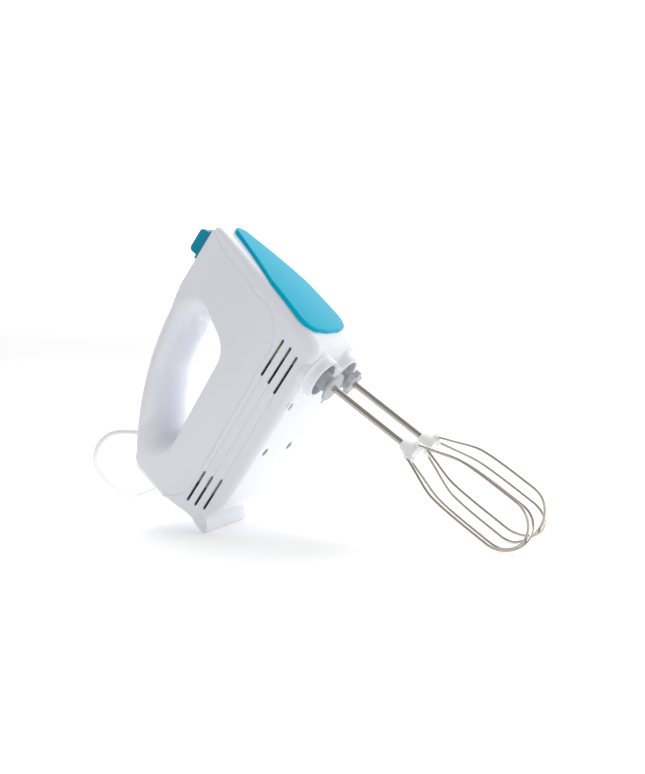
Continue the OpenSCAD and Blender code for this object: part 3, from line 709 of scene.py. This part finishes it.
def upper_housing():
    """Upper housing: side plates round the finger opening, its bowl, and the band over the handle."""
    top, seam = handle_line(), seam_line()
    loop = np.vstack([top, seam[1:-1]])
    ramp = np.minimum(lengths(top), lengths(top)[-1] - lengths(top))
    top_r = 0.7 + 6.3 * np.clip(ramp / 30, 0, 1) ** 0.6
    top_r = np.minimum(top_r, np.interp(top[:, 0], [-34, -18], [7, 0.9]))
    edges = [(top, top_r), (seam, np.full(len(seam), 0.5))]
    angles = np.linspace(-np.pi, np.pi, 201)[:-1]
    ray = np.stack([np.cos(angles), np.sin(angles)], 1)
    rim = MIDDLE + ray * polar(hull_line(RIM), angles, MIDDLE)[:, None]
    waist = MIDDLE + ray * polar(hull_line(WAIST), angles, MIDDLE)[:, None]
    flat, faces = side_plate(loop, [rim], edges)
    y = side_y(flat, edges)
    at = lengths(top)
    slot_at = at[-1] - TOP_JOINT[0] + np.array([-6.5, 33.5])
    slot_hole = np.array([(slot_at[0], -5.5), (slot_at[1], -5.5), (slot_at[1], 5.5), (slot_at[0], 5.5)])
    exit_at = np.interp(EXIT_X, top[20:, 0], at[20:])
    exit_hole = arc(exit_at, 0, 5.0, 0, 360, 32)[:-1]
    crown = np.full(len(top), 0.8) * np.clip(ramp / 30, 0, 1) * (top[:, 0] < -20)
    parts = both_sides(flat, faces, y) + finger_bowl(rim, waist, side_y(rim, edges))
    parts.append(band(top, side_y(top, edges), crown, [slot_hole, exit_hole]))
    points, faces = thick(*welded(parts), WALL)
    return build("upper_housing_skin", [(stand(points), faces.tolist())], 42)


def lower_housing():
    """Lower housing: side plates with slots and grooves, the band round nose and heel, and the hood."""
    low, seam = lower_line(), seam_line()
    loop = np.vstack([low, seam[::-1][1:-1]])
    at = lengths(low)
    marks = [(43, 133.5), (44, 120), (35, 63), (26, 10), (6, -1.5), (-60, -1.5), (-128, -1.5), (-146, 6.2),
             (-156, -1.7), (-156, 12), HEEL_JOINT]
    place = [at[np.argmin(np.linalg.norm(low - np.array(m), axis=1))] for m in marks]
    low_r = np.interp(at, place, [1.5, 4.5, 7, 9, 6, 5, 4, 1.5, 1.2, 2.0, 0.7])
    edges = [(low, low_r), (seam, np.full(len(seam), 0.5))]
    holes = [slot_outline(*slot) for slot in NOSE_SLOTS + HEEL_SLOTS]
    flat, faces = side_plate(loop, holes, edges, 2.6, groove_lines())
    y = side_y(flat, edges)
    for line in groove_lines():
        y = y - 0.45 * np.exp(-(nearest(line, flat)[0] / 0.55) ** 2)
    base = side_y(low, edges)
    crown = np.interp(at, place, [0, 0.5, 1.4, 1.2, 0.2, 0, 0, 0, 0, 0.2, 0])
    under = [np.interp(-x, -low[60:130, 0], at[60:130]) for x in (0, -30, -125)]
    cuts = [arc(under[0], y0, 13.8, 0, 360, 64)[:-1] for y0 in (-GAP, GAP)]
    cuts += [arc(under[1 if x > -50 else 2], y0, 3.6, 0, 360, 28)[:-1] for x, y0 in SCREWS]
    parts = both_sides(flat, faces, y) + [band(low, base, crown, cuts)]
    points, faces = thick(*welded(parts), WALL)
    return build("lower_housing_skin", [(stand(points), faces.tolist())] + stood([hood()] + screw_wells()), 38)


def screw_wells():
    """Cups round the heads of the four housing screws."""
    return [lathe([(1.9, 2), (3.6, 2), (3.6, -1.5), (5, -1.5), (5, 4), (1.9, 4), (1.9, 2)], 32, spot)
            for spot in SCREWS]


def slot_outline(x0, x1, z, r=1.2):
    """Round-ended slot."""
    right = arc(x1 - r, z, r, -90, 90, 8)
    left = arc(x0 + r, z, r, 90, 270, 8)
    return np.vstack([right, left])


LOBE_R = 17.0


def hood_outline(grow=0.0):
    """Lobes of 17 mm round both sockets, bridged across the middle; a closed loop in (x, y)."""
    a = np.radians(np.arange(0, 360, 3.0))
    c, s = np.abs(np.cos(a)), np.abs(np.sin(a))
    chord = np.sqrt(np.maximum(LOBE_R ** 2 - (GAP * c) ** 2, 0))
    lobe = np.where(LOBE_R > GAP * c, GAP * s + chord, 0)
    bridge = 9.0 / np.maximum(c, 0.2)
    r = np.where(c > 0.55, np.maximum(np.minimum(bridge, 30), lobe), lobe) + grow
    k = np.array([0.25, 0.5, 0.25])
    r = np.convolve(np.concatenate([r[-1:], r, r[:1]]), k, "valid")
    return np.stack([r * np.cos(a), r * np.sin(a)], 1)


def hood():
    """Hood round the sockets: flares into the underside, ends in a rounded rim, and holds two stepped bores."""
    rows = [(2.6, 5.0), (2.6, -1.0), (1.6, -1.5), (0.8, -2.4), (0.3, -3.8), (0.1, -5.5), (0.0, -8.1),
            (-0.3, -8.7), (-0.8, -9.0)]
    loops = [np.column_stack([hood_outline(g), np.full(120, z)]) for g, z in rows]
    parts = []
    wall = grid_faces(len(rows), 120, close_cols=True)
    parts.append((np.vstack(loops), np.vstack([wall[:, (0, 2, 1)], wall[:, (0, 3, 2)]])))
    bore = [(14.0, -9.0), (13.6, -8.8), (13.5, -8.3), (13.5, 3.0), (10.5, 3.0), (10.5, 5.0)]
    for y in (-GAP, GAP):
        points, _ = lathe(bore, 60, (0, y))
        f = grid_faces(len(bore), 60, close_cols=True)
        parts.append((points, np.vstack([f[:, (0, 2, 1)], f[:, (0, 3, 2)]])))
    a = np.radians(np.arange(0, 360, 6.0))
    ring = np.stack([np.cos(a), np.sin(a)], 1)
    for grow, z, r, turn in ((-0.8, -9.0, 14.0, -1), (2.6, 5.0, 10.5, 1)):
        loops = [hood_outline(grow)] + [ring * r + [0, y] for y in (-GAP, GAP)]
        flat, faces = triangulate(loops, np.zeros((0, 2)))
        b = flat[faces]
        area = np.cross(b[:, 1] - b[:, 0], b[:, 2] - b[:, 0])
        parts.append((np.column_stack([flat, np.full(len(flat), z)]),
                      np.where((area * turn > 0)[:, None], faces, faces[:, ::-1])))
    points, faces = welded(parts)
    return points, faces.tolist()


def front_panel():
    """Coloured panel: stands 3 mm proud of the nose, with a rounded edge and a gentle crown."""
    edge = spread(hull_line(PANEL), 240)
    centre = np.array([0.0, 62.0])
    rows = [(0.985, -0.5), (1.0, 0.6), (1.0, 2.2), (0.994, 2.75), (0.978, 3.0)]
    rows += [(k, 3.0) for k in np.linspace(0.95, 0.02, 22)]
    loops = []
    for scale, height in rows:
        p = centre + (edge - centre) * scale
        crown = 1.4 * (1 - np.clip(np.abs(p[:, 0]) / 40, 0, 1) ** 2)
        loops.append(np.stack([face_x(p[:, 1]) + crown + height - 0.6, p[:, 0], p[:, 1]], 1))
    points = np.vstack(loops)
    n = len(edge)
    faces = grid_faces(len(rows), n, close_cols=True)[:, ::-1].tolist()
    faces += [list(range(n)), list(range((len(rows) - 1) * n, len(rows) * n))[::-1]]
    obj = build("front_panel_skin", stood([(points, faces)]), 50)
    outward(obj)
    return obj


def switch_plate():
    """Plate on the handle's top under the slider, with the slider's slot in it."""
    points = [(-17, -18), (-14, -21), (39, -21), (41.5, -18.5), (41.5, 18.5), (39, 21), (-14, 21), (-17, 18)]
    obj = build("switch_plate_skin", stood([prism(points, PLATE_Z, 135, "xy")]), 35)
    carve(obj, [block((-6.5, -5.5, 130), (33.5, 5.5, 140))])
    bevelled(obj, 0.0005, 3)
    smooth(obj, 35)
    return obj


def speed_slider():
    """Slider: skirt round the button, web through the slot, flange below it and a stem to the wiper."""
    skirt = block((9.5, -11.5, 135.4), (35.5, 11.5, 141.5))
    obj = build("speed_slider_skin", stood([skirt]), 35)
    carve(obj, [block((12, -5, 127.0), (33, 5, 136.5))], "UNION")
    carve(obj, [block((9, -9, 127.0), (36, 9, 130))], "UNION")
    carve(obj, [block((12, -2, 121.6), (16, 2, 128))], "UNION")
    stem_hole = lathe([(0, 110), (2.6, 110), (2.6, 150), (0, 150)], 32, (28, 0))
    carve(obj, [block((11.7, -9.3, 136.6), (33.3, 9.3, 150)), stem_hole])
    bevelled(obj, 0.0007, 3)
    smooth(obj, 35)
    return obj


def eject_button():
    """Eject button: a cap with rounded ends on a round stem."""
    top = np.vstack([arc(29.4, 146.4, 3.6, 0, 90, 8), arc(15.6, 146.4, 3.6, 90, 180, 8),
                     [(12, 140.9), (33, 140.9)]])
    stem = lathe([(0, 126), (1.9, 126), (2.3, 126.4), (2.3, 141), (0, 141)], 32, (28, 0))
    obj = build("eject_button_skin", stood([prism(top, -9, 9), stem]), 35)
    outward(obj)
    bevelled(obj, 0.0012, 4)
    return obj


# ------------------------------------------------------------------ whisks

def shaft_part():
    """Whisk shaft with its two ears."""
    body = lathe([(0, 36.5), (2.1, 36.5), (2.5, 36.1), (2.5, -97), (0, -97)], 48)
    return [body, block((-0.7, -4.6, 10), (0.7, 4.6, 17))]


def plain_collar():
    """Plain disc with a spool behind it that widens towards the housing."""
    return [lathe([(2.5, -19), (11.8, -19), (12.25, -18.6), (12.25, -17.2), (11.8, -16.8), (7.2, -16.6),
                   (6.8, -16), (7.8, -5), (8.0, -4), (7.6, -3.5), (5, -3.4), (5, -1.6), (2.5, -1.6),
                   (2.5, -19)], 72)]


def lobed_collar():
    """Six-lobed collar on the same spool."""
    a = np.radians(np.arange(0, 360, 2.5))
    r = 8.9 + 1.7 * np.cos(6 * a)
    low = np.stack([r * np.cos(a), r * np.sin(a)], 1)
    lobes = prism(low, -18.8, -14, "xy")
    spool = lathe([(2.5, -19), (6.8, -19), (7.4, -18.6), (7.4, -13.4), (6.9, -13), (5.2, -12.8), (5.0, -12),
                   (5.0, -5.6), (8, -5.4), (8, -3.6), (5, -3.4), (5, -1.6), (2.5, -1.6), (2.5, -19)], 72)
    return [lobes, spool]


def hub_part():
    """White cone that holds the wires in four ears."""
    cone = lathe([(0, -86.9), (3.6, -86.9), (4.2, -87.3), (8.7, -99), (8.9, -99.8), (8.5, -100.1),
                  (0, -100.1)], 64)
    return [cone] + [placed(block((5.5, -1.8, -101), (9.9, 1.8, -95.2)), 90 * k) for k in range(4)]


def half_loop(tip, cage=25.9, depth=20.0):
    """Half of a wire loop as (radius, z): out of the hub, down the widening cage, round an oval end."""
    a = np.radians(np.arange(0, 91, 7.5))
    round_end = np.stack([cage * np.cos(a), depth - tip - depth * np.sin(a)], 1)
    root = [(5.5, -95), (8.4, -97.4), (10.6, -101.4), (14.8, -110.5), (19.2, -119.5), (22.4, -127),
            (24.2, -134), (25.3, -145), (25.8, -158), (cage, -170)]
    return np.vstack([root, round_end])


def wires_part(tip, wire):
    """Two crossing loops of wire."""
    parts = []
    for turn, reach in ((0, tip), (90, tip - wire - 0.1)):
        h = half_loop(reach)
        path = np.vstack([h, h[-2::-1] * [-1, 1]])
        path = spline(path, 6)
        bar = sweep(np.stack([path[:, 0], np.zeros(len(path)), path[:, 1]], 1), wire / 2, 14)
        parts.append(placed(bar, turn))
    return parts


def whisk(side, sizes, mats):
    """One whisk: shaft, collar, hub and wires, riding on its whisk body."""
    name = "right" if side < 0 else "left"
    turn = 60 if side < 0 else 75
    shift = (0, side * GAP, 0)
    tip = sizes.whisk_reach * 1000
    collar = plain_collar() if side < 0 else lobed_collar()
    pieces = (("shaft", shaft_part(), 0, "shaft"), ("collar", collar, 0, "grey"),
              ("hub", hub_part(), turn, "hub"), ("wires", wires_part(tip, sizes.wire_d * 1000), turn, "wire"))
    for piece, parts, angle, mat in pieces:
        standing = stood([placed(p, angle, shift) for p in parts])
        obj = build(f"{name}_whisk_{piece}_skin", standing, 35, weld=1e-6)
        outward(obj)
        if piece in ("hub", "collar"):
            bevelled(obj, 0.0003, 3)
        finish_piece(obj, mats[mat], f"{name}_whisk", f"{name}_whisk_{piece}")


# ------------------------------------------------------------------ mains lead

EXIT_X = -136.0
EXIT_TURN = np.arctan(0.0054 * (EXIT_X + 17))
RELIEF_TIP = 15.0
# Ribbed sleeve: a collar in the wall, then three ribs that get thinner towards the tip
RELIEF_PROFILE = ((2.2, -9), (5, -9), (5, 0.6), (4.6, 1.2), (4.4, 3.2), (3.9, 3.4), (3.9, 4.2), (4.2, 4.4),
                  (4.0, 6.6), (3.6, 6.8), (3.6, 7.6), (3.9, 7.8), (3.7, 10), (3.3, 10.2), (3.3, 11),
                  (3.5, 11.2), (3.1, 14.6), (2.8, 15), (2.2, 15), (2.2, -9))


def at_exit(points):
    """Move points drawn round the z axis to the lead's exit, square to the back of the handle."""
    p = np.asarray(points, float)
    c, s = np.cos(EXIT_TURN), np.sin(EXIT_TURN)
    out = np.stack([c * p[..., 0] + s * p[..., 2], p[..., 1], -s * p[..., 0] + c * p[..., 2]], -1)
    return out + np.array([EXIT_X, 0, back_z(EXIT_X)])


def lead_exit_part(profile):
    """A turned part on the exit's axis."""
    points, faces = lathe(profile, 48)
    return at_exit(points), faces


FREE_LEAD = ((-198, 0, 70), (-209, 1, 62), (-217, 5, 51), (-222, 14, 39), (-224, 28, 27), (-225, 46, 16),
             (-227, 68, 7), (-231, 92, 3.2), (-236, 120, 2.3), (-240, 150, 2.3), (-241, 178, 2.3))
COIL = (-217.0, 195.0)
COIL_R = 24.0
COIL_TURNS = 6.15      # ends the coil heading for the plug
TAIL = ((-225.8, 220.7, 14.4), (-216.2, 229.6, 12.4), (-208.7, 240, 9.4), (-204.9, 249.5, 7.2), (-204, 257, 7))
PLUG = (-204.0, 264.0)


def lead_path(d):
    """The whole lead on the table, in millimetres: from the relief's tip, round the coil, to the plug.

    The coil's turns lie in pairs, an outer and an inner one, and each pair rests on the one below.
    """
    start = stand(at_exit(np.array([0, 0, RELIEF_TIP - 0.5]))) * 1000
    free = spline([start, start + [-14, 0, 0]] + list(FREE_LEAD), 5)
    turn = np.linspace(0, COIL_TURNS, int(COIL_TURNS * 26) + 1)
    side = np.interp(turn % 2, [0, 0.8, 1.1, 1.7, 2.0], [0.5, 0.5, -0.5, -0.5, 0.5])
    side = np.convolve(np.pad(side, 2, "edge"), np.full(5, 0.2), "valid")
    angle = np.pi - turn * 2 * np.pi
    radius = COIL_R + d * side
    height = d / 2 + 0.1 + 0.46 * d * turn
    coil = np.stack([COIL[0] + radius * np.cos(angle), COIL[1] + radius * np.sin(angle), height], 1)[2:]
    tail = spline(np.vstack([coil[-1:], TAIL]), 4)
    return np.vstack([free[:-1], coil, tail[1:]])


def plug_parts():
    """Two-pin plug, drawn along x and turned to lie along the table's y."""
    half = [(0, 5), (8, 12), (10, 12.5), (28, 12.5), (30, 11)]
    outline = [(x, -y) for x, y in half] + [(x, y) for x, y in half[::-1]]
    body = prism(outline, 0, 13.6, "xy")
    neck_p, neck_f = lathe([(0, -12), (3.0, -12), (3.2, -11.5), (4.0, -6), (5.0, 1), (0, 1)], 32)
    neck = (np.stack([neck_p[:, 2], neck_p[:, 0], neck_p[:, 1] + 6.8], 1), neck_f)
    pins = []
    for y in (-9.3, 9.3):
        p, f = lathe([(0, 29), (2, 29), (2, 48.2), (1.3, 49), (0, 49)], 24)
        pins.append((np.stack([p[:, 2], p[:, 0] + y, p[:, 1] + 6.8], 1), f))
    place = dict(turn=90, shift=(PLUG[0], PLUG[1], 0.2))
    return [placed(body, **place), placed(neck, **place)], [placed(p, **place) for p in pins]


def metres(parts):
    """Parts drawn in the table's frame, from millimetres to metres."""
    return [(np.asarray(p) / 1000, f) for p, f in parts]


# ------------------------------------------------------------------ settings

class MixerSizes(bpy.types.PropertyGroup):
    """Sizes of the mixer's visible pieces."""

    whisk_reach: FloatProperty(name="Whisk reach", description="Length of a whisk below the housing",
                               default=0.2036, unit="LENGTH")
    wire_d: FloatProperty(name="Wire diameter", description="Diameter of the whisk wire", default=0.002,
                          unit="LENGTH")
    lead_d: FloatProperty(name="Lead diameter", description="Diameter of the mains lead", default=0.0044,
                          unit="LENGTH")
    panel_colour: FloatVectorProperty(name="Panel colour", description="Colour of the front panel, linear",
                                      default=linear("00AFD0")[:3], subtype="COLOR", size=3)


_state = {}


# ------------------------------------------------------------------ operators

class MIXER_OT_camera(bpy.types.Operator):
    """Set the camera"""

    bl_idname = "mixer.camera"
    bl_label = "Camera"

    def execute(self, context):
        """Place the camera to the mixer's right front, level with its middle."""
        az, el = np.radians(VIEW_AZIMUTH), np.radians(VIEW_HEIGHT)
        back = np.array([np.sin(az) * np.cos(el), -np.cos(az) * np.cos(el), np.sin(el)])
        aim = (STAND + VIEW_AIM) / 1000
        data = bpy.data.cameras.new("camera")
        data.sensor_fit = "VERTICAL"
        data.sensor_height = FILM
        data.lens = FOCAL_SHARE * FILM
        data.clip_start = 0.05
        cam = bpy.data.objects.new("camera", data)
        cam.location = aim + back * VIEW_DISTANCE
        cam.rotation_euler = (np.radians(90) - el, 0, az)
        context.scene.collection.objects.link(cam)
        context.scene.camera = cam
        return {"FINISHED"}


class MIXER_OT_lead(bpy.types.Operator):
    """Build the mains lead, its strain relief and its plug"""

    bl_idname = "mixer.lead"
    bl_label = "Mains lead"

    def execute(self, context):
        sizes, mats = context.scene.mixer_sizes, _state["mats"]
        path = lead_path(sizes.lead_d * 1000)
        lead = build("mains_lead_skin", metres([sweep(path, sizes.lead_d * 500, 16)]), 60)
        outward(lead)
        finish_piece(lead, mats["lead"], "housing", "mains_lead")
        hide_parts("lead_coil")
        body, pins = plug_parts()
        plug = build("plug_body_skin", metres(body), 40)
        outward(plug)
        bevelled(plug, 0.0015, 4)
        finish_piece(plug, mats["lead"], "housing", "plug_body")
        pin = build("plug_pins_skin", metres(pins), 40)
        outward(pin)
        finish_piece(pin, mats["pin"], "housing", "plug_pins")
        relief = build("strain_relief_skin", stood([lead_exit_part(RELIEF_PROFILE)]), 40)
        outward(relief)
        finish_piece(relief, mats["lead"], "housing", "strain_relief")
        return {"FINISHED"}


class MIXER_OT_housings(bpy.types.Operator):
    """Build the two housings, the front panel and the switch plate"""

    bl_idname = "mixer.housings"
    bl_label = "Housings"

    def execute(self, context):
        """Make each moulding and put it in the place of its CAD node."""
        mats = _state["mats"]
        finish_piece(upper_housing(), mats["white"], "housing", "upper_housing")
        finish_piece(lower_housing(), mats["white"], "housing", "lower_housing")
        finish_piece(front_panel(), mats["panel"], "housing", "front_panel")
        finish_piece(switch_plate(), mats["white"], "housing", "switch_plate")
        return {"FINISHED"}


class MIXER_OT_controls(bpy.types.Operator):
    """Build the speed slider and the eject button"""

    bl_idname = "mixer.controls"
    bl_label = "Controls"

    def execute(self, context):
        """Make both controls and put them on their moving bodies."""
        mats = _state["mats"]
        finish_piece(speed_slider(), mats["knob"], "slider", "speed_slider")
        finish_piece(eject_button(), mats["knob"], "button", "eject_button")
        return {"FINISHED"}


class MIXER_OT_whisks(bpy.types.Operator):
    """Build both whisks"""

    bl_idname = "mixer.whisks"
    bl_label = "Whisks"

    def execute(self, context):
        """Make the right whisk with its plain collar and the left one with its lobed collar."""
        for side in (-1, 1):
            whisk(side, context.scene.mixer_sizes, _state["mats"])
        return {"FINISHED"}


class MIXER_OT_insides(bpy.types.Operator):
    """Give the motor, the gearbox and the other inner pieces their materials"""

    bl_idname = "mixer.insides"
    bl_label = "Inner pieces"

    def execute(self, context):
        """Put a material on each CAD node that stays shown."""
        for name, mat in NODE_MATERIALS.items():
            obj = _state["frame"]["nodes"][name]
            obj.data.materials.clear()
            obj.data.materials.append(_state["mats"][mat])
            smooth(obj, 35)
        return {"FINISHED"}


class MIXER_OT_stage(bpy.types.Operator):
    """Build the table, its backdrop and the lights"""

    bl_idname = "mixer.stage"
    bl_label = "Stage"

    def execute(self, context):
        """A white sweep, a large soft light above and two weaker ones at the sides."""
        square = np.array([(-9, -9, 0), (9, -9, 0), (9, 9, 0), (-9, 9, 0)], float)
        wall = np.array([(-9, 5, -0.01), (9, 5, -0.01), (9, 5, 9), (-9, 5, 9)], float)
        for name, points, glow in (("floor", square, 0.2), ("backdrop", wall, 1.0)):
            sheet = build(name, [(points, [[0, 1, 2, 3]])])
            mat = material(f"white paper {name}", "F4F4F4", 0.9, Emission_Strength=glow)
            mat.node_tree.nodes["Principled BSDF"].inputs["Emission Color"].default_value = (1, 1, 1, 1)
            sheet.data.materials.append(mat)
        world = bpy.data.worlds.new("studio")
        world.use_nodes = True
        world.node_tree.nodes["Background"].inputs["Color"].default_value = (1, 1, 1, 1)
        world.node_tree.nodes["Background"].inputs["Strength"].default_value = 0.42
        context.scene.world = world
        lights = (("key", (1.5, -0.3, 1.2), 1.2, 5), ("top", (-0.5, 0.5, 1.6), 1.0, 14),
                  ("left", (-1.5, -1.2, 1.0), 0.8, 1))
        for name, place, size, power in lights:
            data = bpy.data.lights.new(name, "AREA")
            data.size = size
            data.energy = power
            lamp = bpy.data.objects.new(name, data)
            lamp.location = place
            aim = np.array([0, 0, 0.1]) - np.array(place)
            lamp.rotation_euler = (np.arccos(-aim[2] / np.linalg.norm(aim)), 0,
                                   np.arctan2(aim[1], aim[0]) - np.pi / 2)
            context.scene.collection.objects.link(lamp)
        context.scene.view_settings.view_transform = "Standard"
        return {"FINISHED"}


class MIXER_PT_panel(bpy.types.Panel):
    """Sidebar panel with the mixer's sizes and steps"""

    bl_label = "Hand mixer"
    bl_idname = "MIXER_PT_panel"
    bl_space_type = "VIEW_3D"
    bl_region_type = "UI"
    bl_category = "Mixer"

    def draw(self, context):
        """List the sizes, then a button for each step."""
        layout = self.layout
        sizes = context.scene.mixer_sizes
        for name in ("whisk_reach", "wire_d", "lead_d", "panel_colour"):
            layout.prop(sizes, name)
        for operator in STEPS:
            layout.operator(operator.bl_idname)


STEPS = (MIXER_OT_camera, MIXER_OT_lead, MIXER_OT_housings, MIXER_OT_controls, MIXER_OT_whisks,
         MIXER_OT_insides, MIXER_OT_stage)
CLASSES = (MixerSizes,) + STEPS + (MIXER_PT_panel,)


def register():
    """Register the classes and hang the sizes on the scene."""
    for cls in CLASSES:
        bpy.utils.register_class(cls)
    bpy.types.Scene.mixer_sizes = PointerProperty(type=MixerSizes)


def unregister():
    """Undo register()."""
    del bpy.types.Scene.mixer_sizes
    for cls in reversed(CLASSES):
        bpy.utils.unregister_class(cls)


def main():
    """Load the CAD frame and build everything."""
    register()
    _state["frame"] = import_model()
    _state["mats"] = make_materials(bpy.context.scene.mixer_sizes)
    bpy.ops.mixer.camera()
    bpy.ops.mixer.lead()
    bpy.ops.mixer.housings()
    bpy.ops.mixer.controls()
    bpy.ops.mixer.whisks()
    bpy.ops.mixer.insides()
    bpy.ops.mixer.stage()


if __name__ == "__main__":
    main()
